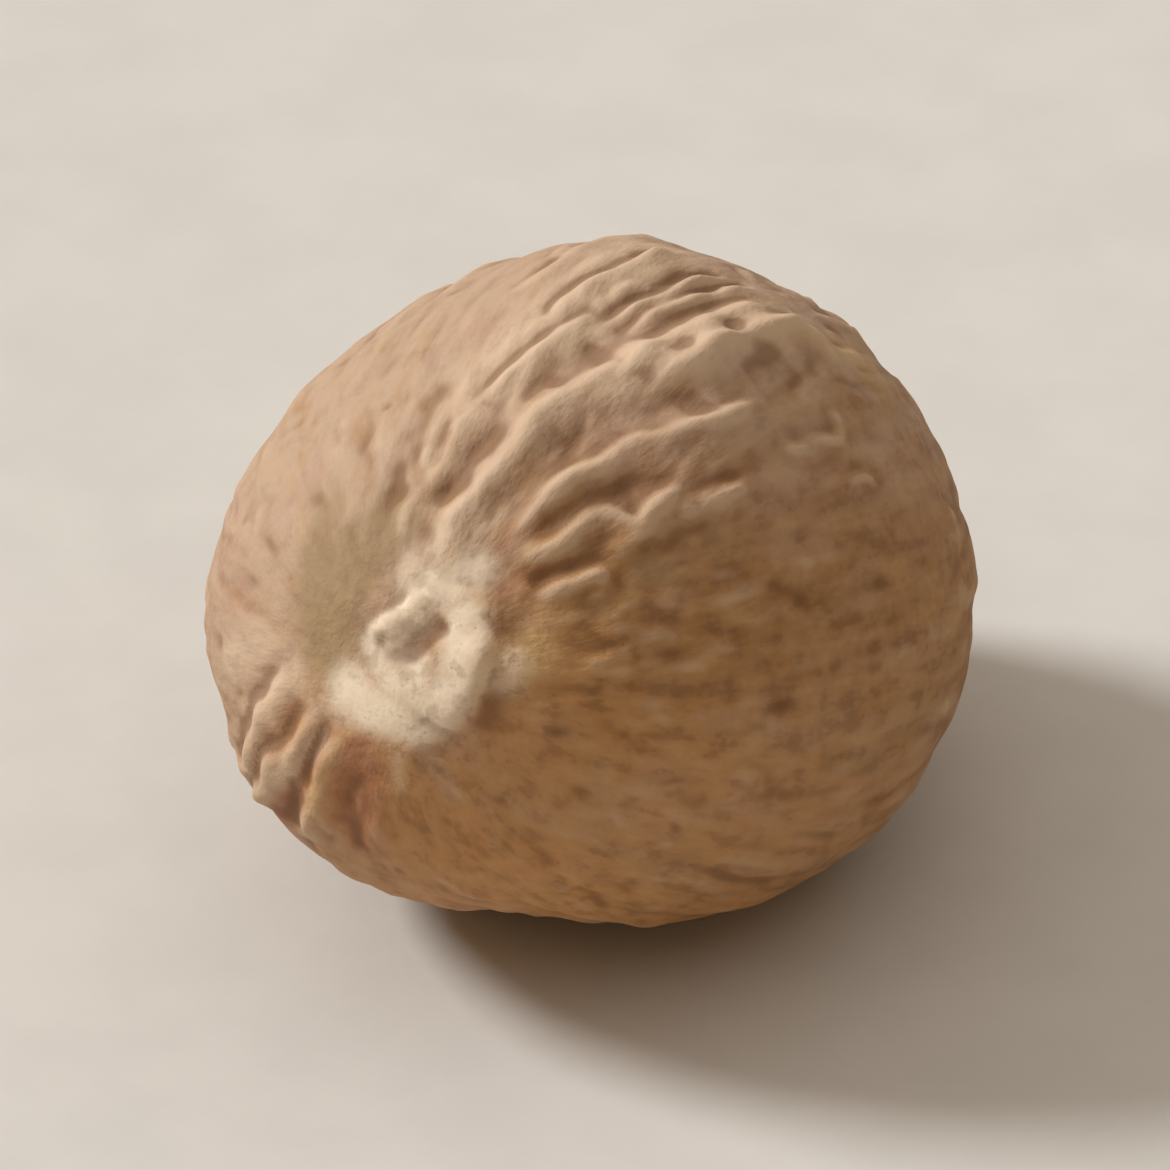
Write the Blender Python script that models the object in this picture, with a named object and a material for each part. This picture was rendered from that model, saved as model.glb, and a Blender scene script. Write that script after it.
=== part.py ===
"""A whole nutmeg: one dried seed, lying on its side with its scar end lifted.

Metres, +Z up.  The seed's long axis lies in the YZ plane.  Its fat end, with the scar where it
grew on its stalk, faces -Y and is raised; its narrow end faces +Y.  The origin is on the ground,
under the middle of the seed.

The seed is shaped in its own axes first and then tilted.  A place on it is a pair of angles in
degrees: how far it is from the scar, from 0 there to 180 at the narrow end, and where it is
around the long axis as seen by someone facing the scar, from 0 at the right (+X) over 90 at the
top.  Sizes are in millimetres, because the skin's relief is small.
"""
import math
import random

import bmesh
import bpy
import numpy as np
from mathutils import Vector, noise

MM = 0.001

# The whole seed
LENGTH = 23.2
WIDTH = 17.8
HEIGHT = 17.8
FULLNESS = 0.11          # how much fatter the scar end is than the middle
LIFT = 20.0              # degrees that the scar end is raised
FLAT_DEPTH = 0.4         # worn off below, so that the seed lies still

# Fineness of the solid
SEGMENTS = 98            # around the seed
RINGS = 48               # from the scar to the narrow end
RING_CROWDING = 0.40     # how far the rings are drawn together around the scar
RING_CROWD_REACH = 60.0  # degrees from the scar
FOLDED_SIDE = 66.0       # around: the segments are narrowest here
SEGMENT_CROWDING = 0.30

# Broad swells and flats: (from the scar, around, radius in degrees, height)
SWELLS = [
    (60, 122, 34, -0.55),    # flattened shoulder
    (80, 88, 20, 0.50),      # crown
    (80, 45, 24, 0.35),
    (95, 0, 30, 0.55),       # full right side
    (100, -35, 26, 0.40),
    (66, -80, 28, -0.80),    # flat under the scar end
    (50, -138, 30, 0.35),    # cheek beside the scar
    (35, 170, 24, 0.30),
    (118, -92, 32, -1.10),   # facet that the seed lies on
    (150, 20, 30, 0.25),
    (140, 120, 30, -0.30),
    (7, -80, 9, 0.30),       # mound below the scar
]

# Folds of the skin that stand out: (start, end, bow, sway, waves, width, height, groove).
# start and end are places.  The fold bows to one side by bow degrees and snakes by sway degrees,
# waves times.  height is its crest's, and groove is the depth of the groove along one side.
FOLDS = [
    ((10, 152), (10, 86), 0.0, 0.0, 0.0, 0.42, 0.22, 0.00),
    ((8, 0), (20, 66), 0.0, 0.0, 0.0, 0.50, 0.24, 0.00),
    ((14, 92), (90, 66), -3.0, 0.8, 1.5, 0.85, 0.32, 0.16),
    ((20, 68), (74, 54), 0.0, 2.0, 1.0, 0.64, 0.34, 0.16),
    ((24, 54), (50, 49), 0.0, -1.8, 2.0, 0.56, 0.26, 0.14),
    ((46, 43), (62, 42), 0.5, 0.0, 0.0, 0.50, 0.16, 0.06),
    ((20, 45), (37, 37), 1.5, 0.0, 0.0, 0.48, 0.18, 0.08),
    ((66, 47), (83, 43), -1.5, 0.6, 1.0, 0.50, 0.15, 0.06),
    ((16, 105), (52, 101), 1.5, 0.8, 1.5, 0.85, 0.14, 0.10),
    ((32, 96), (68, 82), 1.0, 1.2, 2.0, 0.60, 0.22, 0.10),
    ((60, 90), (92, 82), 1.0, 1.0, 1.5, 0.55, 0.18, 0.08),
    ((60, 81), (90, 75), 0.5, 0.6, 1.5, 0.55, 0.26, 0.14),
    ((58, 74), (98, 70), 1.0, 0.6, 1.5, 0.55, 0.24, 0.12),
    ((54, 66), (98, 61), -0.5, 0.8, 1.5, 0.60, 0.22, 0.10),
    ((66, 100), (106, 93), 1.5, 1.2, 1.5, 0.62, 0.16, 0.10),
    ((15, -160), (46, -148), -1.0, 0.0, 0.0, 0.60, 0.18, 0.10),
    ((18, -137), (52, -129), -1.5, 0.0, 0.0, 0.60, 0.18, 0.10),
    ((18, -114), (52, -112), 1.5, 0.0, 0.0, 0.60, 0.14, 0.08),
    ((46, -52), (88, -46), 1.5, 0.8, 1.5, 0.75, 0.14, 0.10),
    ((50, -64), (94, -58), -1.0, 0.8, 1.5, 0.80, 0.16, 0.10),
]
FOLD_STEPS = 20
GROOVED_SIDE = 0.85      # width of a fold's grooved side, as a share of its other side's
GROOVE_OFFSET = 1.30     # from the crest to the groove, in fold widths
GROOVE_WIDTH = 0.75      # in fold widths
FOLD_TAPER = 0.32        # share of the length over which a fold rises at either end

# Long folds side by side over the rest of the seed.  Ranges are drawn from evenly.
LONG_FOLD_SEED = 11
LONG_FOLDS_FROM = 62.0           # around
LONG_FOLDS_TO = 388.0
LONG_FOLD_SPACING = (8.6, 14.4)
LONG_FOLD_END = (128.0, 158.0)   # from the scar
LONG_FOLD_TURN = (-7.0, 7.0)
LONG_FOLD_BOW = (-4.0, 4.0)
LONG_FOLD_SWAY = (0.8, 2.4)
LONG_FOLD_WAVES = (1.5, 3.5)
LONG_FOLD_WIDTH = (0.55, 0.85)
LONG_FOLD_HEIGHT = (0.16, 0.30)
LONG_FOLD_GROOVE = 0.7           # as a share of the height
LONG_FOLD_START = (42.0, 74.0)   # from the scar, on the seed's left and under it
SMOOTH_SHOULDER = (110.0, 168.0)         # around
SMOOTH_SHOULDER_START = (74.0, 86.0)
RIGHT_SIDE = (270.0, 470.0)              # around, over the right side to the crown
RIGHT_SIDE_START = (88.0, 100.0)
CALM_SIDE = -15.0                # around: the folds are lowest here
CALMING = 0.55

# The pit of the scar, above the seed's axis
SCAR = (5.0, 95.0)
SCAR_PIT = (0.85, 0.50)          # radius, depth

# The dimple at the narrow end, and the shallow seam between it and the scar
FAR_DIMPLE = (171.0, 40.0)
FAR_DIMPLE_PIT = (1.3, 0.45)
SEAM = ((14, -157), (164, -145), 4.0, 1.0, 2.0)
SEAM_PIT = (0.9, 0.22)

# Slow unevenness of the whole skin, and soft wrinkles drawn out along the seed
LUMP_SIZE = 5.0
LUMP_HEIGHT = 0.10
WRINKLE_SIZE = 1.2
WRINKLE_STRETCH = 3.2
WRINKLE_HEIGHT = 0.12
WRINKLE_START = (12.0, 30.0)     # degrees from the scar over which the wrinkles set in

SKIN_COLOUR = (0.40, 0.235, 0.13, 1.0)
SKIN_ROUGHNESS = 0.88


def place_direction(from_scar, around):
    """Unit vectors of places given by their two angles in degrees."""
    t = np.radians(from_scar)
    a = np.radians(around)
    return np.stack([np.sin(t) * np.cos(a), -np.cos(t), np.sin(t) * np.sin(a)], axis=-1)


def unit(vectors):
    return vectors / np.linalg.norm(vectors, axis=-1, keepdims=True)


def angle_between(directions, other):
    return np.degrees(np.arccos(np.clip(directions @ other, -1.0, 1.0)))


def smooth_step(values):
    clipped = np.clip(values, 0.0, 1.0)
    return clipped * clipped * (3.0 - 2.0 * clipped)


def seed_surface(directions):
    """The seed without its skin's relief: points and outward normals."""
    fullness = 1.0 - FULLNESS * directions[:, 1]
    half = np.array([WIDTH, LENGTH, HEIGHT]) / 2
    points = directions * half
    points[:, 0] *= fullness
    points[:, 2] *= fullness
    normals = unit(directions / half)
    for from_scar, around, radius, height in SWELLS:
        angle = angle_between(directions, place_direction(from_scar, around))
        points += (height * np.exp(-(angle / radius) ** 2))[:, None] * normals
    return points, normals


def surface_point(from_scar, around):
    return seed_surface(place_direction(from_scar, around)[None, :])[0][0]


def skin_path(start, end, bow, sway, waves):
    """Points along a line over the seed."""
    s = np.linspace(0.0, 1.0, FOLD_STEPS + 1)
    from_scar = start[0] + (end[0] - start[0]) * s
    around = start[1] + (end[1] - start[1]) * s
    around += bow * np.sin(math.pi * s) + sway * np.sin(2 * math.pi * waves * s)
    return seed_surface(place_direction(from_scar, around))[0]


def distance_to_path(points, normals, path):
    """Signed distance of each point from a path over the seed, and its share of the length."""
    best = np.full(len(points), np.inf)
    side = np.zeros(len(points))
    along = np.zeros(len(points))
    for k in range(len(path) - 1):
        step = path[k + 1] - path[k]
        offset = points - path[k]
        share = np.clip(offset @ step / (step @ step), 0.0, 1.0)
        miss = offset - share[:, None] * step
        distance = np.linalg.norm(miss, axis=1)
        nearer = distance < best
        best[nearer] = distance[nearer]
        turn = np.einsum("ij,ij->i", np.cross(normals, step), miss)
        side[nearer] = np.sign(turn[nearer])
        along[nearer] = (k + share[nearer]) / (len(path) - 1)
    return best * side, along


def end_taper(along):
    return smooth_step(along / FOLD_TAPER) * smooth_step((1.0 - along) / FOLD_TAPER)


def pit_relief(distance, pit):
    radius, depth = pit
    return -depth * np.exp(-(distance / radius) ** 2)


def fold_relief(points, normals, fold):
    """A rounded crest with a groove along one side."""
    start, end, bow, sway, waves, width, height, groove = fold
    path = skin_path(start, end, bow, sway, waves)
    across, along = distance_to_path(points, normals, path)
    crest_width = np.where(across > 0.0, width * GROOVED_SIDE, width)
    crest = height * np.exp(-(across / crest_width) ** 2)
    furrow = pit_relief(across - GROOVE_OFFSET * width, (GROOVE_WIDTH * width, groove))
    return end_taper(along) * (crest + furrow)


def long_fold_start(around):
    if SMOOTH_SHOULDER[0] < around < SMOOTH_SHOULDER[1]:
        return SMOOTH_SHOULDER_START
    if around < SMOOTH_SHOULDER[0] or around > RIGHT_SIDE[0]:
        return RIGHT_SIDE_START
    return LONG_FOLD_START


def long_folds():
    """Folds side by side around the seed, each a little different from the last."""
    draw = random.Random(LONG_FOLD_SEED)
    folds = []
    around = LONG_FOLDS_FROM
    while around < LONG_FOLDS_TO:
        start = (draw.uniform(*long_fold_start(around)), around)
        end = (draw.uniform(*LONG_FOLD_END), around + draw.uniform(*LONG_FOLD_TURN))
        bow = draw.uniform(*LONG_FOLD_BOW)
        sway = draw.uniform(*LONG_FOLD_SWAY)
        waves = draw.uniform(*LONG_FOLD_WAVES)
        width = draw.uniform(*LONG_FOLD_WIDTH)
        calm = 0.5 + 0.5 * math.cos(math.radians(around - CALM_SIDE))
        height = draw.uniform(*LONG_FOLD_HEIGHT) * (1.0 - CALMING * calm)
        folds.append((start, end, bow, sway, waves, width, height, LONG_FOLD_GROOVE * height))
        around += draw.uniform(*LONG_FOLD_SPACING)
    return folds


def seam_relief(points, normals):
    across, along = distance_to_path(points, normals, skin_path(*SEAM))
    return end_taper(along) * pit_relief(across, SEAM_PIT)


def hollow_relief(points, place, pit):
    distance = np.linalg.norm(points - surface_point(*place), axis=1)
    return pit_relief(distance, pit)


def wrinkle_relief(directions, from_scar):
    """Slow lumps, and soft wrinkles drawn out along the seed."""
    relief = np.zeros(len(directions))
    for i, direction in enumerate(directions):
        lump = noise.noise(Vector(direction) * (LENGTH / 2 / LUMP_SIZE))
        drawn_out = Vector((direction[0], direction[1] / WRINKLE_STRETCH, direction[2]))
        wrinkle = noise.noise(drawn_out * (WIDTH / 2 / WRINKLE_SIZE))
        relief[i] = LUMP_HEIGHT * lump + WRINKLE_HEIGHT * wrinkle
    first, full = WRINKLE_START
    return relief * smooth_step((from_scar - first) / (full - first))


def skin_relief(directions, points, normals):
    """Height of the skin above the plain seed."""
    from_scar = angle_between(directions, place_direction(0.0, 0.0))
    relief = hollow_relief(points, SCAR, SCAR_PIT) + hollow_relief(points, FAR_DIMPLE, FAR_DIMPLE_PIT)
    relief += seam_relief(points, normals) + wrinkle_relief(directions, from_scar)
    for fold in FOLDS + long_folds():
        relief += fold_relief(points, normals, fold)
    return relief


def laid_down(points):
    """Tilt the seed, wear its underside flat and stand it on the ground over the origin."""
    lift = math.radians(LIFT)
    tilt = np.array([
        [1.0, 0.0, 0.0],
        [0.0, math.cos(lift), math.sin(lift)],
        [0.0, -math.sin(lift), math.cos(lift)],
    ])
    points = points @ tilt.T
    points[:, 2] = np.maximum(points[:, 2] - points[:, 2].min() - FLAT_DEPTH, 0.0)
    points[:, :2] -= (points[:, :2].min(axis=0) + points[:, :2].max(axis=0)) / 2
    return points


def ball_directions(ball_points):
    """Turn a ball's pole to the scar, and draw its rings and segments to the finest relief."""
    from_scar = angle_between(ball_points, np.array([0.0, 0.0, 1.0]))
    around = np.degrees(np.arctan2(ball_points[:, 1], ball_points[:, 0]))
    pull = RING_CROWDING * np.exp(-(from_scar / RING_CROWD_REACH) ** 2)
    lean = SEGMENT_CROWDING * np.sin(np.radians(around - FOLDED_SIDE))
    return place_direction(from_scar * (1.0 - pull), around - np.degrees(lean))


def skin_material():
    material = bpy.data.materials.new("nutmeg_skin")
    material.use_nodes = True
    surface = material.node_tree.nodes["Principled BSDF"]
    surface.inputs["Base Color"].default_value = SKIN_COLOUR
    surface.inputs["Roughness"].default_value = SKIN_ROUGHNESS
    surface.inputs["Metallic"].default_value = 0.0
    return material


def make_nutmeg(collection):
    """A ball whose segments run from the scar to the narrow end, shaped as the seed."""
    shape = bmesh.new()
    bmesh.ops.create_uvsphere(shape, u_segments=SEGMENTS, v_segments=RINGS, radius=1.0)
    ball_points = unit(np.array([vertex.co[:] for vertex in shape.verts]))
    directions = ball_directions(ball_points)
    points, normals = seed_surface(directions)
    relief = skin_relief(directions, points, normals)
    for vertex, point in zip(shape.verts, laid_down(points + relief[:, None] * normals)):
        vertex.co = point * MM
    bmesh.ops.recalc_face_normals(shape, faces=shape.faces[:])
    mesh = bpy.data.meshes.new("nutmeg")
    shape.to_mesh(mesh)
    shape.free()
    mesh.shade_smooth()
    mesh.materials.append(skin_material())
    nutmeg = bpy.data.objects.new("nutmeg", mesh)
    collection.objects.link(nutmeg)


def main():
    for old in list(bpy.data.objects):
        bpy.data.objects.remove(old, do_unlink=True)
    collection = bpy.data.collections.new("whole_nutmeg")
    bpy.context.scene.collection.children.link(collection)
    make_nutmeg(collection)


main()
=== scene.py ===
"""A whole nutmeg, shaped, coloured and laid on a pale studio floor.

The seed is shaped in its own axes, in millimetres, and then tilted onto the ground.  A place on it
is a pair of angles in degrees: how far it is from the scar, from 0 there to 180 at the narrow end,
and where it is around the long axis as seen by someone facing the scar, from 0 at the right over
90 at the top.
"""

import math
import random

import bpy
import numpy as np
from bpy.props import FloatProperty, FloatVectorProperty, PointerProperty
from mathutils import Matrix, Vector, noise


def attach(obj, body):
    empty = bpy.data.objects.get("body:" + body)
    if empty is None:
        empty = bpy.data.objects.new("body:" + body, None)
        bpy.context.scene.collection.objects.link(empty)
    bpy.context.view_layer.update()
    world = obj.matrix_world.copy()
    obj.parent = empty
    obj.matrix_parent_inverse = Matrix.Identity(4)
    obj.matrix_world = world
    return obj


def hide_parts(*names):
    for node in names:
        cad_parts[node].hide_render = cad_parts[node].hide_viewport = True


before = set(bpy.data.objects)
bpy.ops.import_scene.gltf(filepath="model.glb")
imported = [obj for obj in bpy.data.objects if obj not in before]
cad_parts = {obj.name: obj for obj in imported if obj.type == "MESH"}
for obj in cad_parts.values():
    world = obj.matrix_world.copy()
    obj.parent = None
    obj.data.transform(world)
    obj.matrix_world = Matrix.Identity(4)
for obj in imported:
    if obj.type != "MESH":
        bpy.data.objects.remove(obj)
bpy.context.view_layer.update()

bl_info = {
    "name": "Whole nutmeg",
    "version": (1, 0, 0),
    "blender": (4, 5, 0),
    "location": "3D View > Sidebar > Nutmeg",
    "description": "Builds a whole dried nutmeg and a small studio around it",
    "category": "Object",
}

MM = 0.001

# The cube that the seed is blown up from: cuts across each edge, made in two rounds
FIRST_CUTS = 31
SECOND_CUTS = 3
FINE_SIDE = (48.0, 60.0)         # the mesh is finest around this place
FINENESS = 0.24

# Broad swells and flats: (from the scar, around, radius in degrees, height)
SWELLS = [
    (60, 122, 34, -0.55),    # flattened shoulder
    (80, 88, 20, 0.50),      # crown
    (80, 45, 24, 0.35),
    (95, 0, 30, 0.55),       # full right side
    (100, -35, 26, 0.40),
    (66, -80, 28, -0.80),    # flat under the scar end
    (50, -138, 30, 0.35),    # cheek beside the scar
    (35, 170, 24, 0.30),
    (118, -92, 32, -1.10),   # facet that the seed lies on
    (150, 20, 30, 0.25),
    (140, 120, 30, -0.30),
    (7, -80, 9, 0.30),       # mound below the scar
]

# Folds that stand out: (course, width, height, groove, steepness).  A course is the places that
# the crest passes.  One flank, the left one on the way along the course, is steeper, with a
# groove at its foot.
FOLDS = [
    # the broad fold over the crown, and the two sharp ones to its right
    (((12, 91), (18, 88), (26, 83), (35, 80.5), (46, 79), (58, 73.5), (70, 69.5), (90, 66)),
     0.80, 0.36, 0.12, 0.60),
    (((21, 59), (25, 62.5), (31, 65.4), (37, 64.4), (43, 62), (49, 60), (54, 57.6), (58, 55.6),
      (63, 54), (71, 52.4)), 0.80, 0.31, 0.11, 0.24),
    (((22.5, 54), (26, 54.6), (30, 53), (35, 54.4), (38.5, 51.2), (41, 46.5), (44.5, 48.5),
      (51, 47)), 0.54, 0.24, 0.09, 0.28),
    # short ones below them
    (((46, 43), (50, 43.5), (59, 42)), 0.36, 0.17, 0.05, 0.50),
    (((22, 43), (28.5, 40.5), (35, 36.5)), 0.36, 0.18, 0.06, 0.42),
    (((65, 46), (69, 44), (73, 44), (77, 42.5), (79, 43.5), (80, 47)), 0.22, 0.13, 0.00, 0.80),
    # on the crown, to the left of the broad one
    (((15, 106), (30, 104), (51, 101)), 0.60, 0.10, 0.08, 0.60),
    (((27, 98), (34, 96.5), (41, 96)), 0.40, 0.16, 0.09, 0.60),
    (((42, 93), (48, 92), (56, 88), (65, 84)), 0.38, 0.20, 0.11, 0.55),
    (((57, 92), (70, 90), (89, 84)), 0.36, 0.20, 0.12, 0.48),
    (((63, 81), (74, 78.5), (89, 75.5)), 0.34, 0.27, 0.15, 0.48),
    (((61, 77.5), (74, 75), (91, 71.5)), 0.32, 0.24, 0.14, 0.48),
    (((54, 67.5), (70, 65), (92, 61)), 0.46, 0.20, 0.09, 0.48),
    (((55, 65), (72, 63.5), (96, 59)), 1.10, 0.32, 0.00, 0.90),
    (((66, 100), (84, 98), (104, 93)), 0.42, 0.15, 0.09, 0.50),
    # on the cheek below the scar's left
    (((52, -141), (43, -138), (33, -145), (25, -152), (17, -163)), 0.45, 0.22, 0.09, 0.60),
    (((50, -131), (38, -133), (30, -135), (23, -134), (15, -140)), 0.42, 0.24, 0.14, 0.50),
    (((44, -117), (38, -118.5), (24, -121), (12, -125)), 0.45, 0.21, 0.15, 0.50),
    (((40, -99), (28, -98), (16, -100)), 0.60, 0.08, 0.05, 0.60),
    # low ones under the scar end
    (((90, -46), (68, -47), (46, -52)), 0.75, 0.08, 0.05, 0.80),
    (((94, -58), (72, -60), (50, -64)), 0.80, 0.10, 0.06, 0.80),
    # the scar's rim, above and to the right
    (((6.3, 150), (6.9, 127), (7.3, 108), (9.0, 93), (13, 86)), 0.34, 0.25, 0.05, 0.90),
    (((18.5, 58.5), (15.2, 48), (12.8, 29), (11, 12), (10.8, -17), (11, -42)),
     0.80, 0.30, 0.08, 0.36),
]

# Furrows: (course, width, depth)
FURROWS = [
    (((60, 73.5), (74, 72.5), (86, 70.5)), 0.20, 0.09),
    (((62, 83.5), (74, 82), (84, 80)), 0.20, 0.09),
    (((20, 111.5), (27, 110.5), (36, 107), (50, 104)), 0.36, 0.11),
    (((23, 97), (28, 93), (33, 88.5), (42, 85.5)), 0.30, 0.09),
    (((57, 79), (62, 84), (67, 87)), 0.26, 0.09),
    (((24.5, 58), (29.2, 57.5), (32, 56.5), (42, 55.5), (47, 55)), 0.26, 0.05),
    (((22.5, 46), (27.8, 47.8), (31, 45.5)), 0.26, 0.07),
    (((5.2, 140), (3.2, 120), (3.2, 92), (6.0, 72), (12, 65)), 0.40, 0.09),
    (((2, 100), (3.2, 64), (6.5, 60), (11, 62)), 0.24, 0.06),
    (((60, 163), (64, 161), (68, 158)), 0.20, 0.06),
    (((58, -36), (66, -36), (78, -38)), 0.30, 0.06),
    (((40, -84), (60, -80), (96, -74)), 0.40, 0.08),
]
COURSE_STEPS = 48
GROOVE_OFFSET = 1.05     # from the crest to the groove, in fold widths
GROOVE_WIDTH = 0.55      # in fold widths
FOLD_TAPER = 0.22        # share of the length over which a fold rises at either end
CREST_ROUNDNESS = 1.55   # 2 for a full round crest, less for a crisper one
CREST_UNEVENNESS = 0.40
CREST_LUMP = 1.0         # length of the lumps along a crest
WOBBLE = 0.08            # how far a course strays to either side
WOBBLE_SIZE = 1.0

# Long folds side by side over the rest of the seed.  Ranges are drawn from evenly.
SNAKING_PLACES = 17
LONG_FOLD_SEED = 11
LONG_FOLDS_FROM = 62.0           # around
LONG_FOLDS_TO = 388.0
LONG_FOLD_SPACING = (8.6, 14.4)
LONG_FOLD_END = (128.0, 158.0)   # from the scar
LONG_FOLD_TURN = (-7.0, 7.0)
LONG_FOLD_BOW = (-4.0, 4.0)
LONG_FOLD_SWAY = (0.8, 2.4)
LONG_FOLD_WAVES = (1.5, 3.5)
LONG_FOLD_WIDTH = (0.55, 0.85)
LONG_FOLD_HEIGHT = (0.10, 0.20)
LONG_FOLD_GROOVE = 0.7           # as a share of the height
LONG_FOLD_STEEPNESS = 0.6
LONG_FOLD_START = (42.0, 74.0)   # from the scar, on the seed's left and under it
SMOOTH_SHOULDER = (110.0, 168.0)         # around
SMOOTH_SHOULDER_START = (74.0, 86.0)
RIGHT_SIDE = (270.0, 470.0)              # around, over the right side to the crown
RIGHT_SIDE_START = (88.0, 100.0)
CALM_SIDE = -15.0                # around: the folds are lowest here
CALMING = 0.55

# The shallow seam from the scar to the narrow end
SEAM_ENDS = ((14, -157), (164, -145))
SEAM_COURSE = (4.0, 1.0, 2.0)    # bow, sway and waves
SEAM_PIT = (0.9, 0.22)

# Single pits and knobs: (place, radius, height), with a pit's height below zero
SPOTS = [
    ((171, 40), 1.3, -0.45),     # dimple at the narrow end
    ((5.6, 134), 0.16, -0.14),   # hole in the scar
    ((27, 93), 0.22, -0.08),
    ((27, 110), 0.30, -0.08),
    ((50, 82), 0.26, -0.09),
    ((58, 23), 0.20, -0.05),
    ((61, 20), 0.22, -0.05),
    ((58, 2), 0.22, -0.05),
    ((76, 19), 0.22, -0.06),
    ((24, -10), 0.24, -0.05),
    ((61, 82), 0.40, 0.14),
    ((41, 95), 0.40, 0.10),
    ((88, 56), 0.35, 0.12),
    ((80, 46), 0.20, 0.10),
    ((17, 15), 0.60, 0.22),
]

# Slow unevenness of the whole skin, and soft wrinkles drawn out along the seed
LUMP_SIZE = 5.0
LUMP_HEIGHT = 0.10
WRINKLE_SIZE = 1.2
WRINKLE_STRETCH = 3.2
WRINKLE_HEIGHT = 0.07

# Fine relief: unevenness drawn out along the seed
GRAIN_RADIUS = 9.0               # girth of the grain's coordinates, in millimetres
GRAIN_WAIST = 0.45               # share of that girth that is left at the seed's ends
GRAIN_STRETCH = 3.0
RIPPLE_SIZE = 0.85
RIPPLE_HEIGHT = 0.050
FINE_SIZE = 0.42
FINE_HEIGHT = 0.048
PATCH_SIZE = 3.5                 # the fine relief is stronger in some patches than in others
END_EVEN = 9.0                   # degrees from either end within which nothing is drawn out
END_DRAWN = 27.0                 # degrees from either end beyond which all is

# Short wrinkles and pits scattered over the skin
SCATTER_SEED = 5
SHORT_WRINKLES = 230
SHORT_LENGTH = (4.0, 13.0)       # degrees
SHORT_TURN = (-3.5, 3.5)
SHORT_WIDTH = (0.20, 0.36)
SHORT_HEIGHT = (0.02, 0.065)
PITS = 120
PIT_RADIUS = (0.15, 0.28)
PIT_DEPTH = (0.02, 0.06)
SCATTER_FROM = (24.0, 168.0)     # from the scar

# The shoulder is smoother than the rest: place, radius in degrees and share of relief left
SMOOTH_PLACE = (45, 140)
SMOOTH_RADIUS = 30.0
SMOOTH_SHARE = 0.45
SCAR_SHARE = 0.35                # of the fine relief that is left at the scar

# Hollows and crests for the skin's colour: relief against its surroundings, which darkens hollows as
# painted shade and pales crests, partly as painted highlight
WEAR_ROUNDS = 2                  # of smoothing, which takes the sharp edges off the relief
SMOOTHING_ROUNDS = 36
FULL_HOLLOW = 0.055

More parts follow.
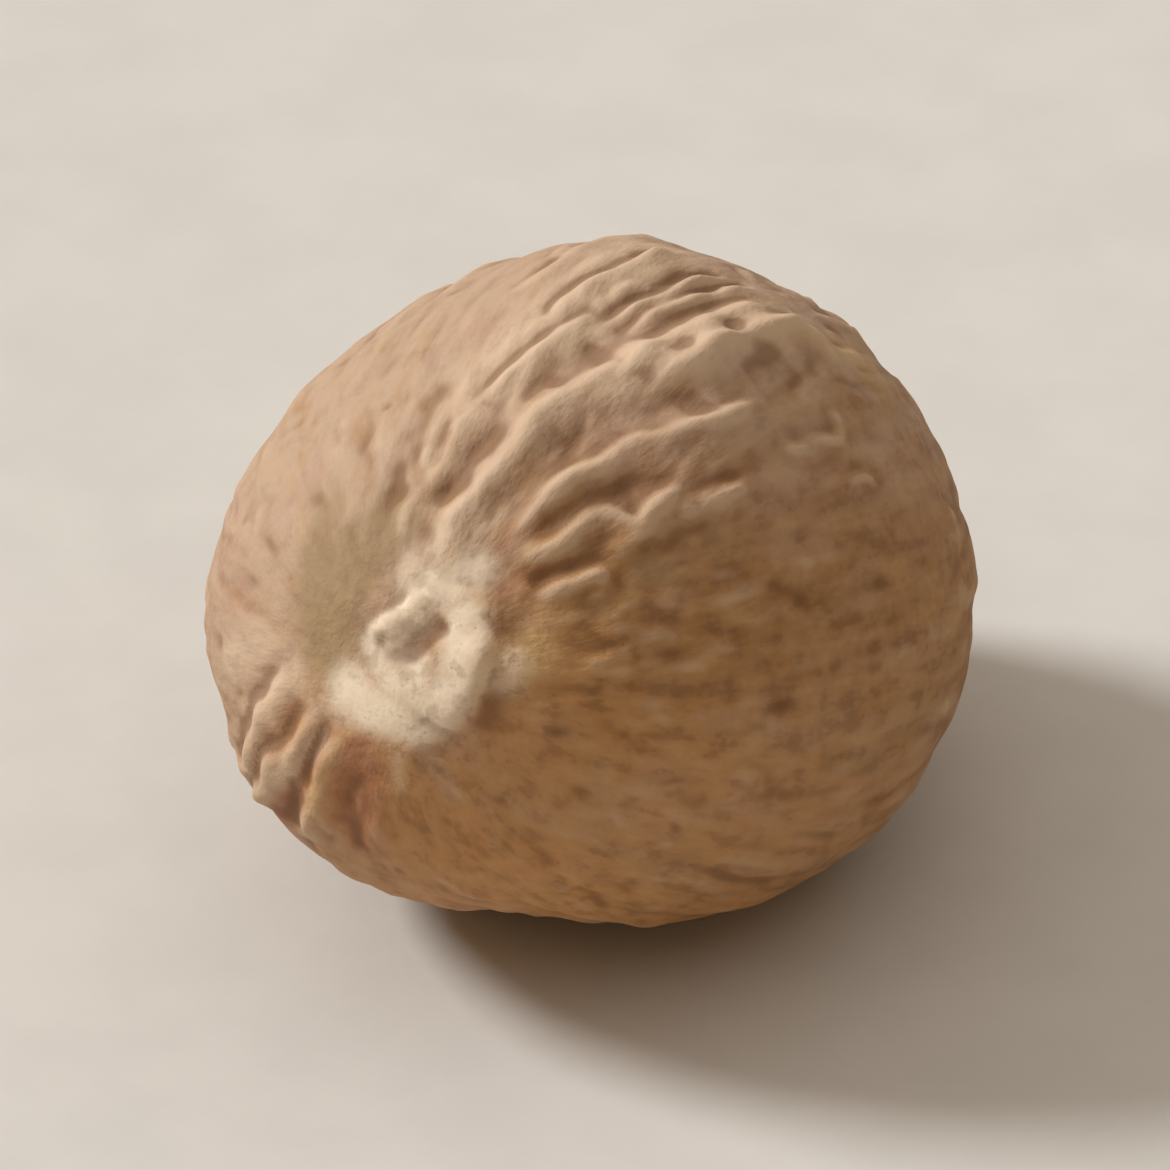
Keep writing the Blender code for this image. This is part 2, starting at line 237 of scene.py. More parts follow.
# Tints that lie on the skin in places: (course, width, strength)
TINTS = {
    "pale": [
        (((8.5, -150), (7, -120), (6, -80), (7, -45)), 0.85, 1.00),
        (((3.5, 170), (2, -120), (2, -60)), 0.60, 0.85),
        (((7.5, -60), (8, -20), (8.5, 10), (10, 32), (12.5, 50)), 0.70, 1.10),
        (((6.3, 150), (6.9, 127), (7.3, 108), (9.0, 93), (14, 87)), 0.36, 1.20),
        (((4, 150), (4, 105), (8, 75)), 0.55, 0.70),
        (((11, 92), (14, 75), (19, 66)), 0.70, 0.85),
        (((10, 100), (14, 102), (17, 101)), 0.45, 0.55),
        (((15, 92), (24, 85)), 0.40, 0.40),
        (((10, -84), (18, -86)), 0.34, 0.35),
    ],
    # The next tint lays the crest colour as painted light. It covers lit faces of folds and the
    # crown, and spots left darker by the shadow of nearby relief. In places it is paler skin too
    "fair_and_painted_light": [
        (((15, 92), (26, 84), (40, 80), (54, 76)), 0.50, 0.60),
        (((54, 73), (70, 69), (94, 63)), 0.85, 1.00),
        (((46, 96), (60, 92), (86, 88)), 1.40, 0.85),
        (((24, 61), (31, 65), (44, 62)), 0.40, 0.40),
        (((11, -140), (17, -143)), 0.60, 0.70),
        (((19, -162), (34, -148)), 0.60, 0.95),
        (((18, -131), (34, -131)), 0.42, 0.85),
        (((22, -172), (36, -164)), 0.80, 0.80),
        (((10, -62), (20, -62)), 0.45, 0.45),
        (((64, 64), (78, 62)), 0.60, 0.70),
        (((15, 8), (17, 18)), 0.48, 1.10),
        (((18, 84), (26, 76)), 0.70, 0.80),
        (((74, 76), (90, 72)), 0.90, 0.60),
    ],
    "olive": [
        (((3.4, 140), (3.0, 115), (3.6, 88), (8, 69)), 0.28, 0.30),
        (((12, 175), (15, 155), (18, 132), (22, 114)), 1.10, 1.25),
        (((15, 176), (19, 158), (22.5, 146), (27, 135)), 0.70, 0.80),
        (((24, 116), (34, 108), (46, 105)), 0.55, 0.40),
        (((57, 84), (64, 86), (72, 94)), 0.50, 0.50),
        (((39, 36), (41, 34)), 0.60, 0.55),
        (((29, 31), (31, 31)), 0.50, 0.50),
        (((96, 150), (120, 160)), 1.60, 0.50),
        (((70, -10), (86, -6)), 0.80, 0.40),
    ],
    "red": [
        (((20, 61), (25, 63.5), (31, 65)), 0.40, 0.75),
        (((20, 52), (25, 48)), 0.40, 0.65),
        (((14, -20), (14.5, 10), (16, 34), (18, 48)), 0.30, 0.60),
        (((14, -112), (19, -108), (32, -103)), 0.90, 1.05),
        (((17, -128), (30, -127), (46, -126)), 0.45, 0.95),
        (((22, -148), (34, -147)), 0.50, 0.50),
        (((33, 180), (42, 176)), 0.90, 0.40),
        (((110, -150), (130, -140)), 1.60, 0.50),
    ],
    # The next tint holds browner patches and a browner dimple at the narrow end. Its first three
    # strokes are painted shade over the right and lower right sides, which face away from the key
    # light
    "brown": [
        (((34, 18), (70, 14), (120, 10)), 5.20, 0.75),
        (((30, -60), (60, -50), (110, -40)), 4.80, 0.55),
        (((66, 38), (110, 40)), 3.20, 0.35),
        (((171, 40), (169, 60)), 1.40, 0.90),
        (((60, -160), (120, -150)), 3.50, 0.30),
        (((112, -178), (152, -168)), 4.00, 0.55),
        (((116, 128), (150, 118)), 3.50, 0.40),
    ],
    "tan": [
        (((20, -98), (30, -74), (48, -62), (84, -54)), 4.00, 1.00),
        (((18, -16), (40, -22), (80, -24)), 4.60, 0.70),
        (((56, -96), (96, -90), (130, -80)), 5.00, 0.80),
    ],
    "straw": [
        (((15, 8), (17, 16), (20, 23)), 0.60, 1.30),
        (((12, -124), (22, -121), (36, -119)), 0.24, 0.60),
        (((82, 66), (98, 54)), 1.10, 0.70),
        (((84, 2), (92, 8)), 1.60, 0.40),
    ],
    # The next tint holds dark specks, and painted shade in the pits and the scar's hole. It also
    # draws a darker line along the furrow beside the scar
    "dark": [
        (((57, 24), (62, 20)), 0.20, 0.80),
        (((57, 2), (59.5, 2)), 0.18, 0.80),
        (((75, 19), (77, 19)), 0.18, 0.70),
        (((24, -11), (25.5, -9)), 0.16, 0.80),
        (((73.5, 6), (75, 6)), 0.14, 0.60),
        (((53.5, -2), (55, -2)), 0.12, 0.60),
        (((12.5, -72), (15, -71)), 0.14, 0.50),
        (((14, -61), (17, -60)), 0.12, 0.50),
        (((24, -88), (26, -80)), 0.16, 0.45),
        (((5.6, 130), (5.6, 138)), 0.14, 0.90),
        (((2, 100), (3.2, 64), (6.5, 60), (10, 62)), 0.12, 0.45),
        (((42, 50), (43, 56)), 0.16, 0.45),
        (((31, 60), (31, 62)), 0.16, 0.45),
    ],
}


# Places and lines on the seed

def place_direction(from_scar, around):
    """Unit vectors of places given by their two angles in degrees."""
    t = np.radians(from_scar)
    a = np.radians(around)
    return np.stack([np.sin(t) * np.cos(a), -np.cos(t), np.sin(t) * np.sin(a)], axis=-1)


def unit(vectors):
    return vectors / np.linalg.norm(vectors, axis=-1, keepdims=True)


def angle_between(directions, other):
    return np.degrees(np.arccos(np.clip(directions @ other, -1.0, 1.0)))


def smooth_step(values):
    clipped = np.clip(values, 0.0, 1.0)
    return clipped * clipped * (3.0 - 2.0 * clipped)


class Seed:
    """The seed's smooth body, on which every fold, pit and tint finds its place."""

    def __init__(self, sizes):
        self.half = np.array([sizes.width, sizes.length, sizes.height]) / MM / 2
        self.fullness = sizes.fullness
        self.lift = sizes.lift
        self.flat_depth = sizes.flat_depth / MM

    def surface(self, directions):
        """Points and outward normals of the body without its skin's relief."""
        fullness = 1.0 - self.fullness * directions[:, 1]
        points = directions * self.half
        points[:, 0] *= fullness
        points[:, 2] *= fullness
        normals = unit(directions / self.half)
        for from_scar, around, radius, height in SWELLS:
            angle = angle_between(directions, place_direction(from_scar, around))
            points += (height * np.exp(-(angle / radius) ** 2))[:, None] * normals
        return points, normals

    def point(self, place):
        return self.surface(place_direction(*place)[None, :])[0][0]

    def line(self, course, wobble_seed=None):
        """Points along a smooth line over the seed that passes the places of a course."""
        points, normals = self.surface(place_direction(*smooth_course(course)))
        if wobble_seed is not None:
            wobble = WOBBLE * wandering(travelled(points) / WOBBLE_SIZE, wobble_seed)
            ahead = unit(np.gradient(points, axis=0))
            points = points + wobble[:, None] * np.cross(normals, ahead)
        return points

    def laid_down(self, points):
        """Tilted, worn flat below and stood on the ground over the origin."""
        tilt = np.array([
            [1.0, 0.0, 0.0],
            [0.0, math.cos(self.lift), math.sin(self.lift)],
            [0.0, -math.sin(self.lift), math.cos(self.lift)],
        ])
        points = points @ tilt.T
        points[:, 2] = np.maximum(points[:, 2] - points[:, 2].min() - self.flat_depth, 0.0)
        points[:, :2] -= (points[:, :2].min(axis=0) + points[:, :2].max(axis=0)) / 2
        return points


def smooth_course(course):
    """From the scar and around, at even steps along a curve through a course's places."""
    places = np.array(course, dtype=float)
    knots = np.arange(len(places))
    slopes = np.gradient(places, axis=0)
    t = np.linspace(0, len(places) - 1, COURSE_STEPS + 1)
    k = np.minimum(t.astype(int), len(places) - 2)
    u = (t - knots[k])[:, None]
    curve = places[k] * (1 + 2 * u) * (1 - u) ** 2 + slopes[k] * u * (1 - u) ** 2
    curve += places[k + 1] * u * u * (3 - 2 * u) + slopes[k + 1] * u * u * (u - 1)
    return curve[:, 0], curve[:, 1]


def travelled(points):
    """Distance along a line of points, from its first to each."""
    steps = np.linalg.norm(np.diff(points, axis=0), axis=1)
    return np.concatenate([[0.0], np.cumsum(steps)])


def wandering(values, seed):
    """Smooth noise along a line, about -1 to 1."""
    return 2.0 * np.array([noise.noise(Vector((value, seed, 0.5))) for value in values])


def near_line(points, normals, path, reach):
    """Points within reach of a path: their indices, signed distance and share of its length."""
    middle = path.mean(axis=0)
    radius = np.linalg.norm(path - middle, axis=1).max() + reach
    near = np.flatnonzero(((points - middle) ** 2).sum(axis=1) < radius ** 2)
    points = points[near]
    normals = normals[near]
    best = np.full(len(near), np.inf)
    side = np.zeros(len(near))
    along = np.zeros(len(near))
    way = travelled(path)
    for k in range(len(path) - 1):
        step = path[k + 1] - path[k]
        offset = points - path[k]
        share = np.clip(offset @ step / (step @ step), 0.0, 1.0)
        miss = offset - share[:, None] * step
        distance = np.einsum("ij,ij->i", miss, miss)
        nearer = np.flatnonzero(distance < best)
        best[nearer] = distance[nearer]
        turn = np.einsum("ij,ij->i", np.cross(normals[nearer], step), miss[nearer])
        side[nearer] = np.sign(turn)
        along[nearer] = way[k] + share[nearer] * (way[k + 1] - way[k])
    return near, np.sqrt(best) * side, along / way[-1]


def end_taper(along):
    return smooth_step(along / FOLD_TAPER) * smooth_step((1.0 - along) / FOLD_TAPER)


# The skin's relief

class Skin:
    """Height of the skin above the seed's body, built up feature by feature."""

    def __init__(self, seed, directions):
        self.seed = seed
        self.directions = directions
        self.points, self.normals = seed.surface(directions)
        self.from_scar = angle_between(directions, place_direction(0.0, 0.0))
        self.around = np.degrees(np.arctan2(directions[:, 2], directions[:, 0]))
        self.relief = np.zeros(len(directions))

    def fold(self, course, width, height, groove, steepness, seed):
        """A rounded crest, steeper on its left flank, with a groove at that flank's foot."""
        path = self.seed.line(course, seed)
        near, across, along = near_line(self.points, self.normals, path, 3.5 * width)
        way = travelled(path)
        lumps = np.interp(along, way / way[-1], wandering(way / CREST_LUMP, seed + 0.7))
        flank = np.where(across > 0.0, width * steepness, width)
        fall = np.exp(-np.abs(across / flank) ** CREST_ROUNDNESS)
        crest = height * (1.0 + CREST_UNEVENNESS * lumps) * fall
        beyond = across - GROOVE_OFFSET * width
        furrow = groove * np.exp(-(beyond / (GROOVE_WIDTH * width)) ** 2)
        self.relief[near] += end_taper(along) * (crest - furrow)

    def furrow(self, course, width, depth, seed=None):
        path = self.seed.line(course, seed)
        near, across, along = near_line(self.points, self.normals, path, 3.0 * width)
        self.relief[near] -= end_taper(along) * depth * np.exp(-(across / width) ** 2)

    def spot(self, place, radius, height):
        distance = np.linalg.norm(self.points - self.seed.point(place), axis=1)
        self.relief += height * np.exp(-(distance / radius) ** 2)

    def noise_height(self, place):
        """Ripples and the unevenness between them, around one place in millimetres."""
        place = Vector(place)
        patch = 1.0 + noise.noise(place / PATCH_SIZE)
        ripple = RIPPLE_HEIGHT * noise.noise(place / RIPPLE_SIZE + noise.noise_vector(place) * 0.3)
        return patch * (ripple + FINE_HEIGHT * noise.noise(place / FINE_SIZE))

    def fine_relief(self):
        """Fine relief drawn out along the seed, but even at its ends."""
        grain = grain_place(self.from_scar, self.around)
        drawn = np.array([self.noise_height(place) for place in grain])
        even = np.array([self.noise_height(place) for place in self.points])
        smooth = angle_between(self.directions, place_direction(*SMOOTH_PLACE)) / SMOOTH_RADIUS
        share = 1.0 - (1.0 - SMOOTH_SHARE) * np.exp(-smooth ** 2)
        share *= SCAR_SHARE + (1.0 - SCAR_SHARE) * smooth_step(self.from_scar / END_DRAWN)
        self.relief += share * (drawn + (even - drawn) * self.ends())

    def ends(self):
        """1 at either end of the seed, and 0 between them."""
        from_end = np.minimum(self.from_scar, 180.0 - self.from_scar)
        return smooth_step((END_DRAWN - from_end) / (END_DRAWN - END_EVEN))

    def tint(self, strokes):
        """How strongly a tint lies on each point."""
        amount = np.zeros(len(self.directions))
        for course, width, strength in strokes:
            path = self.seed.line(course)
            near, across, _ = near_line(self.points, self.normals, path, 2.5 * width)
            amount[near] = np.maximum(amount[near], strength * np.exp(-(across / width) ** 2))
        return amount

    def wrinkles(self):
        """Slow lumps, and soft wrinkles drawn out along the seed."""
        height = np.zeros(len(self.directions))
        lump_scale = self.seed.half[1] / LUMP_SIZE
        wrinkle_scale = self.seed.half[0] / WRINKLE_SIZE
        for i, direction in enumerate(self.directions):
            lump = noise.noise(Vector(direction) * lump_scale)
            drawn_out = Vector((direction[0], direction[1] / WRINKLE_STRETCH, direction[2]))
            wrinkle = noise.noise(drawn_out * wrinkle_scale)
            height[i] = LUMP_HEIGHT * lump + WRINKLE_HEIGHT * wrinkle
        self.relief += height * (1.0 - self.ends())


def snaking_course(start, end, bow, sway, waves):
    """A course that bows to one side by bow degrees and snakes by sway degrees, waves times."""
    s = np.linspace(0.0, 1.0, SNAKING_PLACES)
    from_scar = start[0] + (end[0] - start[0]) * s
    around = start[1] + (end[1] - start[1]) * s
    around += bow * np.sin(math.pi * s) + sway * np.sin(2 * math.pi * waves * s)
    return tuple(zip(from_scar, around))


def grain_place(from_scar, around):
    """Coordinates in millimetres that are drawn out along the seed and draw in at the scar."""
    t = np.radians(from_scar)
    a = np.radians(around)
    girth = GRAIN_RADIUS * (GRAIN_WAIST + (1.0 - GRAIN_WAIST) * np.sin(t))
    return np.stack([girth * np.cos(a), girth * np.sin(a), GRAIN_RADIUS * t / GRAIN_STRETCH], axis=-1)


def long_fold_start(around):
    if SMOOTH_SHOULDER[0] < around < SMOOTH_SHOULDER[1]:
        return SMOOTH_SHOULDER_START
    if around < SMOOTH_SHOULDER[0] or around > RIGHT_SIDE[0]:
        return RIGHT_SIDE_START
    return LONG_FOLD_START


def long_folds():
    """Folds side by side around the seed, each a little different from the last."""
    draw = random.Random(LONG_FOLD_SEED)
    folds = []
    around = LONG_FOLDS_FROM
    while around < LONG_FOLDS_TO:
        start = draw.uniform(*long_fold_start(around))
        end = draw.uniform(*LONG_FOLD_END)
        turn = draw.uniform(*LONG_FOLD_TURN)
        bow = draw.uniform(*LONG_FOLD_BOW)
        sway = draw.uniform(*LONG_FOLD_SWAY)
        waves = draw.uniform(*LONG_FOLD_WAVES)
        course = snaking_course((start, around), (end, around + turn), bow, sway, waves)
        width = draw.uniform(*LONG_FOLD_WIDTH)
        calm = 0.5 + 0.5 * math.cos(math.radians(around - CALM_SIDE))
        height = draw.uniform(*LONG_FOLD_HEIGHT) * (1.0 - CALMING * calm)
        groove = LONG_FOLD_GROOVE * height
        folds.append((course, width, height, groove, LONG_FOLD_STEEPNESS))
        around += draw.uniform(*LONG_FOLD_SPACING)
    return folds


def scattered_wrinkles(draw):
    """Short low wrinkles, most of them running along the seed."""
    wrinkles = []
    for _ in range(SHORT_WRINKLES):
        from_scar = draw.uniform(*SCATTER_FROM)
        around = draw.uniform(-180.0, 180.0)
        length = draw.uniform(*SHORT_LENGTH)
        turn = draw.uniform(*SHORT_TURN) / math.sin(math.radians(from_scar))
        bow = draw.uniform(*SHORT_TURN)
        ends = ((from_scar, around), (from_scar + length, around + turn))
        course = snaking_course(*ends, bow, 0.0, 0.0)
        height = draw.uniform(*SHORT_HEIGHT)
        wrinkles.append((course, draw.uniform(*SHORT_WIDTH), height, 0.6 * height, 0.7))
    return wrinkles


def scattered_pits(draw):
    pits = []
    for _ in range(PITS):
        place = (draw.uniform(*SCATTER_FROM), draw.uniform(-180.0, 180.0))
        pits.append((place, draw.uniform(*PIT_RADIUS), -draw.uniform(*PIT_DEPTH)))
    return pits


def shape_skin(skin):
    """Every feature of the skin, from the slow lumps to the single pits."""
    skin.wrinkles()
    skin.furrow(snaking_course(*SEAM_ENDS, *SEAM_COURSE), *SEAM_PIT)
    for number, fold in enumerate(FOLDS + long_folds()):
        skin.fold(*fold, seed=10.0 * number)
    for number, furrow in enumerate(FURROWS):
        skin.furrow(*furrow, seed=500.0 + 10.0 * number)
    skin.fine_relief()
    draw = random.Random(SCATTER_SEED)
    for number, wrinkle in enumerate(scattered_wrinkles(draw)):
        skin.fold(*wrinkle, seed=900.0 + 3.0 * number)
    for place, radius, height in SPOTS + scattered_pits(draw):
        skin.spot(place, radius, height)


def smoothed(values, edges, count, rounds):
    """Values averaged over a mesh's neighbours, round after round."""
    first, second = edges.T
    neighbours = np.bincount(first, minlength=count) + np.bincount(second, minlength=count)
    for _ in range(rounds):
        total = np.bincount(first, values[second], count) + np.bincount(second, values[first], count)
        values = 0.5 * values + 0.5 * total / neighbours
    return values


def hollows(relief, edges):
    """How far each point lies below its surroundings, from -1 on crests to 1 in hollows."""
    around = smoothed(relief, edges, len(relief), SMOOTHING_ROUNDS)
    return np.clip((around - relief) / FULL_HOLLOW, -1.0, 1.0)


# Materials

class Wire:
    """A value, colour or vector in a material, which Python expressions can work with."""

    def __init__(self, paint, socket):
        self.paint = paint
        self.socket = socket

    def __add__(self, other):
        return self.paint.maths("ADD", self, other)

    def __radd__(self, other):
        return self.paint.maths("ADD", other, self)

    def __sub__(self, other):
        return self.paint.maths("SUBTRACT", self, other)

    def __rsub__(self, other):
        return self.paint.maths("SUBTRACT", other, self)

    def __mul__(self, other):
        return self.paint.maths("MULTIPLY", self, other)

    def __rmul__(self, other):
        return self.paint.maths("MULTIPLY", other, self)

    def __truediv__(self, other):
        return self.paint.maths("DIVIDE", self, other)

    def __rtruediv__(self, other):
        return self.paint.maths("DIVIDE", other, self)

    def __pow__(self, other):
        return self.paint.maths("POWER", self, other)


class Paint:
    """A new material and the ways of adding to its nodes."""

    def __init__(self, name, roughness, specular):
        self.material = bpy.data.materials.new(name)
        self.material.use_nodes = True
        self.tree = self.material.node_tree
        self.surface = self.tree.nodes["Principled BSDF"]
        self.surface.inputs["Roughness"].default_value = roughness
        self.surface.inputs["Specular IOR Level"].default_value = specular

    def feed(self, socket, value):
        if isinstance(value, Wire):
            self.tree.links.new(value.socket, socket)
        else:
            socket.default_value = value

    def node(self, kind, settings, inputs, output=0):
        """Add a node, apply its settings, feed its inputs and return one of its outputs."""
        node = self.tree.nodes.new(kind)
        for name, value in settings.items():
            setattr(node, name, value)
        for key, value in inputs.items():
            self.feed(node.inputs[key], value)
        return Wire(self, node.outputs[output])

    def maths(self, operation, first, second):
        return self.node("ShaderNodeMath", {"operation": operation}, {0: first, 1: second})

    def kept(self, name):
        """A value that the mesh keeps for each vertex."""
        return self.node("ShaderNodeAttribute", {"attribute_name": name}, {}, "Fac")

    def kept_vector(self, name):
        return self.node("ShaderNodeAttribute", {"attribute_name": name}, {}, "Vector")

    def noise(self, place, size, detail=3.0, roughness=0.55, distortion=0.0):
        """Noise from about 0 to 1 whose features are size across, in the units of place."""
        inputs = {"Vector": place, "Scale": 1.0 / size, "Detail": detail,
                  "Roughness": roughness, "Distortion": distortion}
        return self.node("ShaderNodeTexNoise", {"noise_dimensions": "3D"}, inputs, "Fac")

    def ramp(self, value, low, high):
        """0 below low, 1 above high and smooth between."""
        inputs = {"Value": value, "From Min": low, "From Max": high}
        return self.node("ShaderNodeMapRange", {"interpolation_type": "SMOOTHSTEP"}, inputs)

    def mix(self, amount, first, second):
        """From the first colour to the second as amount goes from 0 to 1."""
        inputs = {0: amount, 6: first, 7: second}
        return self.node("ShaderNodeMix", {"data_type": "RGBA"}, inputs, 2)

    def bump(self, height, distance, strength=1.0):
        """Surface normals over a height whose full swing is distance, in metres."""
        inputs = {"Height": height, "Distance": distance, "Strength": strength}
        return self.node("ShaderNodeBump", {}, inputs)


def opaque(colour):
    return (*colour, 1.0)


def skin_paint(colours):
    """Dry skin: mottled along the grain and tinted in places, with painted shade in hollows and pits,
    paler crests that are partly painted highlight, and painted light and shade in some of the tints.
    """
    paint = Paint("nutmeg_skin", roughness=0.80, specular=0.30)
    grain = paint.kept_vector("grain")
    ground = paint.node("ShaderNodeTexCoord", {}, {}, "Object")
    ends = paint.kept("ends")
    hollow = paint.kept("hollow")
    brown = paint.kept("brown")
    tan = paint.kept("tan")

    def mottle(size, evenness=0.0, detail=3.0, distortion=0.0):
        """Noise that is drawn out along the seed, less so with evenness, and even at its ends."""
        drawn = paint.noise(grain, size, detail, distortion=distortion)
        even = paint.noise(ground, size * MM, detail, distortion=distortion)
        return drawn + (even - drawn) * (evenness + ends * (1.0 - evenness))

    streaks = mottle(0.80, 0.3, detail=4.0, distortion=0.5)
    blotches = mottle(0.55, 0.40, detail=3.5)
    clouds = paint.noise(ground, 0.0032, detail=3.0)
    edge = (paint.noise(ground, 0.0014, detail=2.5, roughness=0.5) - 0.5) * 1.5

    # Brown streaks and rosy clouds. The skin is browner where the brown tint lies: in browner
    # patches, and as painted shade on the sides that face away from the key light
    skin = paint.mix(paint.ramp(streaks + (brown - 0.5) * 0.22, 0.34, 0.70) * 0.75,
                     opaque(colours.skin), opaque(colours.brown_skin_and_shade))
    skin = paint.mix(paint.ramp(clouds, 0.42, 0.68) * 0.55, skin, opaque(colours.rosy_skin))
    skin = paint.mix(paint.ramp(brown + edge * 0.35, 0.1, 0.9) * 0.80, skin,
                     opaque(colours.brown_skin_and_shade))
    # Tints. One of them lays the crest colour as painted light on lit faces of folds and on the crown
    for name, colour, share in (
        ("tan", colours.tan_skin, 0.80),
        ("red", colours.red_skin, 0.65),
        ("olive", colours.olive_skin, 0.78),
        ("straw", colours.straw_skin, 0.80),
        ("fair_and_painted_light", colours.crest, 0.80),
        ("pale", colours.pale_skin, 0.92),
    ):
        amount = paint.ramp(paint.kept(name) + edge * 0.34, 0.06, 0.98)
        skin = paint.mix(amount * share, skin, opaque(colour))
    skin = paint.mix(paint.ramp(blotches, 0.50, 0.64) * (0.10 + brown * 0.26), skin,
                     opaque(colours.straw_skin))
    skin = paint.mix(paint.ramp(0.51 - blotches, 0.0, 0.14) * (0.14 + brown * 0.50), skin,
                     opaque(colours.furrow))
    pores = paint.ramp(mottle(0.17, 0.6, detail=1.0), 0.66, 0.74)
    skin = paint.mix(pores * (0.15 + brown * 0.35), skin, opaque(colours.furrow))
    # Paler on crests, less so where the skin is tan. This is partly rubbed skin and partly painted
    # highlight
    crest = paint.ramp(0.0 - hollow, 0.0, 1.0)
    skin = paint.mix(crest * (0.52 - paint.ramp(tan, 0.1, 0.9) * 0.36), skin, opaque(colours.crest))
    # Painted shade: darker in hollows
    skin = paint.mix(paint.ramp(hollow, 0.0, 1.0) * 0.64, skin, opaque(colours.furrow))
    # Darker marks: dark specks, and painted shade in the pits and the scar's hole
    skin = paint.mix(paint.kept("dark") * 0.75, skin, opaque(colours.furrow))
    paint.feed(paint.surface.inputs["Base Color"], skin)

    height = mottle(0.26, 0.4, detail=4.0) * (1.0 - paint.ramp(paint.kept("pale"), 0.2, 0.9) * 0.6)
    paint.feed(paint.surface.inputs["Normal"], paint.bump(height, 0.00010, 0.7))
    return paint.material


# Blender helpers

def deselect_all():
    bpy.ops.object.select_all(action="DESELECT")


def vertex_points(mesh):
    points = np.empty(len(mesh.vertices) * 3)
    mesh.vertices.foreach_get("co", points)
    return points.reshape(-1, 3)


def set_vertex_points(mesh, points):
    mesh.vertices.foreach_set("co", points.astype(np.float32).ravel())
    mesh.update()


def mesh_edges(mesh):
    edges = np.empty(len(mesh.edges) * 2, dtype=int)
    mesh.edges.foreach_get("vertices", edges)
    return edges.reshape(-1, 2)


def store(mesh, name, values):
    """Keep a value, or a vector, for each vertex under a name that a material can read."""
    if values.ndim == 1:
        mesh.attributes.new(name, "FLOAT", "POINT").data.foreach_set("value", values)
    else:
        kept = mesh.attributes.new(name, "FLOAT_VECTOR", "POINT")
        kept.data.foreach_set("vector", values.ravel())


def blown_up_cube():
    """A finely cut cube, ready to be blown up into a ball: its object and the ball's directions."""
    deselect_all()
    bpy.ops.mesh.primitive_cube_add(size=2.0)
    block = bpy.context.object
    bpy.ops.object.mode_set(mode="EDIT")
    bpy.ops.mesh.select_all(action="SELECT")
    bpy.ops.mesh.subdivide(number_cuts=FIRST_CUTS)
    bpy.ops.mesh.subdivide(number_cuts=SECOND_CUTS)
    bpy.ops.object.mode_set(mode="OBJECT")
    ball = unit(np.tan(vertex_points(block.data) * math.pi / 4))
    focus = place_direction(*FINE_SIDE)
    pull = FINENESS * np.maximum(0.0, 1.0 + ball @ focus) / 2
    return block, unit(ball + pull[:, None] * (focus - ball))


def make_seed(sizes, colours):
    block, directions = blown_up_cube()
    seed = Seed(sizes)
    skin = Skin(seed, directions)
    shape_skin(skin)
    edges = mesh_edges(block.data)
    skin.relief = smoothed(skin.relief, edges, len(skin.relief), WEAR_ROUNDS)
    points = seed.laid_down(skin.points + skin.relief[:, None] * skin.normals)
    set_vertex_points(block.data, points * MM)
    bpy.ops.object.shade_smooth()
    block.name = "nutmeg_skin_piece"
    mesh = block.data
    mesh.name = block.name
    store(mesh, "grain", grain_place(skin.from_scar, skin.around))
    store(mesh, "ends", skin.ends())
    store(mesh, "hollow", hollows(skin.relief, edges))
    for name, strokes in TINTS.items():
        store(mesh, name, skin.tint(strokes))
    mesh.materials.append(skin_paint(colours))
    return block


# Sizes and colours that a user would change

class NutmegSizes(bpy.types.PropertyGroup):
    length: FloatProperty(
        name="Length", description="Along the seed's own axis", default=0.0232, unit="LENGTH")
    width: FloatProperty(
        name="Width", description="Across the seed", default=0.0178, unit="LENGTH")
    height: FloatProperty(
        name="Height", description="Across the seed, upright", default=0.0178, unit="LENGTH")
    fullness: FloatProperty(
        name="Fullness", description="How much fatter the scar end is than the middle",
        default=0.11, subtype="FACTOR")
    lift: FloatProperty(
        name="Lift", description="How far the scar end is raised",
        default=math.radians(20.0), unit="ROTATION")
    flat_depth: FloatProperty(
        name="Flat depth", description="Worn off below, so that the seed lies still",
        default=0.0004, unit="LENGTH")


def colour_property(name, description, default):
    return FloatVectorProperty(name=name, description=description, default=default, subtype="COLOR")


class NutmegColours(bpy.types.PropertyGroup):
    skin: colour_property("Skin", "Dry tan skin", (0.475, 0.330, 0.225))
    # This colour is also painted shade, on the sides that face away from the key light
    brown_skin_and_shade: colour_property("Brown skin", "Browner streaks and sides", (0.345, 0.172, 0.056))
    rosy_skin: colour_property("Rosy skin", "Pinkish clouds", (0.50, 0.325, 0.240))
    # This colour is also the painted highlight on crests, and the painted light that a tint lays on
    # lit faces
    crest: colour_property("Crests", "Rubbed crests of folds", (0.64, 0.475, 0.335))
    # This colour is also the painted shade in hollows, pits and the scar's hole, besides dark
    # blotches and pores
    furrow: colour_property("Furrows", "Bottoms of furrows and pits", (0.18, 0.078, 0.028))
    pale_skin: colour_property("Pale skin", "Chalky skin around the scar", (0.85, 0.715, 0.55))
    tan_skin: colour_property("Tan skin", "Warm skin under the scar", (0.50, 0.248, 0.088))
    olive_skin: colour_property("Olive skin", "Olive smears", (0.31, 0.213, 0.108))
    red_skin: colour_property("Red skin", "Reddish smears", (0.33, 0.130, 0.070))
    straw_skin: colour_property("Straw skin", "Yellowish smears", (0.60, 0.39, 0.18))
    floor: colour_property("Floor", "Pale floor", (0.62, 0.60, 0.57))


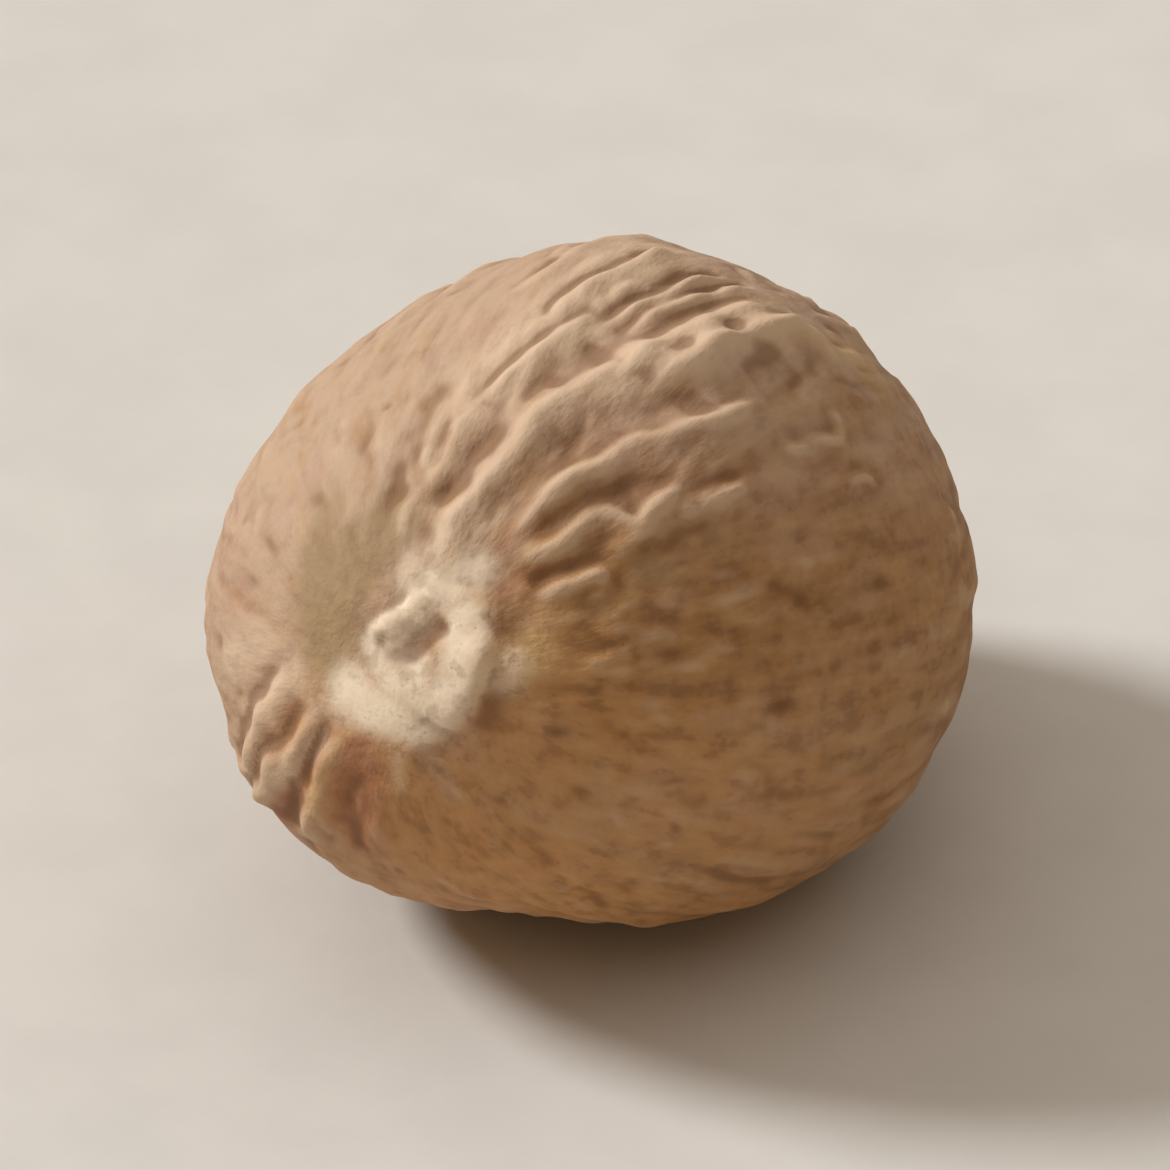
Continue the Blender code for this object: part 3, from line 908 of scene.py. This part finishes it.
class StudioSettings(bpy.types.PropertyGroup):
    azimuth: FloatProperty(
        name="Azimuth", description="Camera, around from the scar end towards the right",
        default=math.radians(27.5), unit="ROTATION")
    elevation: FloatProperty(
        name="Elevation", description="Camera, above the floor",
        default=math.radians(34.0), unit="ROTATION")
    distance: FloatProperty(
        name="Distance", description="From the camera to the seed", default=0.44, unit="LENGTH")
    view_angle: FloatProperty(
        name="View angle", description="Width of the camera's view",
        default=math.radians(3.9), unit="ROTATION")
    key_power: FloatProperty(
        name="Key power", description="Power of the key light", default=2.75, unit="POWER")
    ceiling_power: FloatProperty(
        name="Ceiling power", description="Power of the light from above", default=0.85,
        unit="POWER")


# The stage

FLOOR_SIZE = 3.0
AIM = (-0.0006, 0.0, 0.0078)
KEY_DIRECTION = (-0.75, -0.19, 0.62)


def make_floor(colours):
    deselect_all()
    bpy.ops.mesh.primitive_plane_add(size=FLOOR_SIZE)
    floor = bpy.context.object
    floor.name = "floor"
    paint = Paint("pale_floor", roughness=0.9, specular=0.2)
    place = paint.node("ShaderNodeTexCoord", {}, {}, "Object")
    mottle = paint.ramp(paint.noise(place, 0.004, detail=4.0), 0.3, 0.7)
    lighter = tuple(min(1.0, channel * 1.05) for channel in colours.floor)
    paint.feed(paint.surface.inputs["Base Color"],
               paint.mix(mottle, opaque(colours.floor), opaque(lighter)))
    floor.data.materials.append(paint.material)
    return floor


def turned_to(direction):
    return Vector(direction).to_track_quat("Z", "Y").to_euler()


def make_lights(studio):
    bpy.ops.object.light_add(type="SUN", rotation=turned_to(KEY_DIRECTION))
    key = bpy.context.object
    key.data.energy = studio.key_power
    key.data.angle = math.radians(15.0)
    bpy.ops.object.light_add(type="SUN")
    ceiling = bpy.context.object
    ceiling.data.energy = studio.ceiling_power
    ceiling.data.angle = math.radians(90.0)
    world = bpy.data.worlds.new("studio")
    bpy.context.scene.world = world
    world.use_nodes = True
    background = world.node_tree.nodes["Background"]
    background.inputs["Color"].default_value = (1.0, 0.76, 0.50, 1.0)
    background.inputs["Strength"].default_value = 0.27


def make_camera(studio):
    back = Vector((
        math.sin(studio.azimuth) * math.cos(studio.elevation),
        -math.cos(studio.azimuth) * math.cos(studio.elevation),
        math.sin(studio.elevation),
    ))
    location = Vector(AIM) + back * studio.distance
    bpy.ops.object.camera_add(location=location, rotation=turned_to(back))
    camera = bpy.context.object
    camera.data.angle = studio.view_angle
    camera.data.clip_start = 0.01
    bpy.context.scene.camera = camera


# Operators, panel and registration

class NUTMEG_OT_seed(bpy.types.Operator):
    """Shape the seed and colour its skin"""
    bl_idname = "nutmeg.seed"
    bl_label = "Make the seed"

    def execute(self, context):
        seed = make_seed(context.scene.nutmeg_sizes, context.scene.nutmeg_colours)
        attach(seed, "root")
        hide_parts("nutmeg")
        return {"FINISHED"}


class NUTMEG_OT_stage(bpy.types.Operator):
    """Lay the floor, place the lights and set up the camera"""
    bl_idname = "nutmeg.stage"
    bl_label = "Set the stage"

    def execute(self, context):
        floor = make_floor(context.scene.nutmeg_colours)
        make_lights(context.scene.nutmeg_studio)
        make_camera(context.scene.nutmeg_studio)
        context.scene.view_settings.view_transform = "Standard"
        return {"FINISHED"}


class NUTMEG_PT_sidebar(bpy.types.Panel):
    """Lists the sizes, the colours and the steps"""
    bl_label = "Nutmeg"
    bl_idname = "NUTMEG_PT_sidebar"
    bl_space_type = "VIEW_3D"
    bl_region_type = "UI"
    bl_category = "Nutmeg"

    def draw(self, context):
        scene = context.scene
        for settings in (scene.nutmeg_sizes, scene.nutmeg_colours, scene.nutmeg_studio):
            column = self.layout.column()
            for name in settings.__annotations__:
                column.prop(settings, name)
        for step in STEPS:
            self.layout.operator(step.bl_idname)


STEPS = (NUTMEG_OT_seed, NUTMEG_OT_stage)
CLASSES = (NutmegSizes, NutmegColours, StudioSettings, *STEPS, NUTMEG_PT_sidebar)


def register():
    for cls in CLASSES:
        bpy.utils.register_class(cls)
    bpy.types.Scene.nutmeg_sizes = PointerProperty(type=NutmegSizes)
    bpy.types.Scene.nutmeg_colours = PointerProperty(type=NutmegColours)
    bpy.types.Scene.nutmeg_studio = PointerProperty(type=StudioSettings)


def unregister():
    del bpy.types.Scene.nutmeg_studio
    del bpy.types.Scene.nutmeg_colours
    del bpy.types.Scene.nutmeg_sizes
    for cls in reversed(CLASSES):
        bpy.utils.unregister_class(cls)


def main():
    register()
    bpy.ops.nutmeg.seed()
    bpy.ops.nutmeg.stage()


if __name__ == "__main__":
    main()
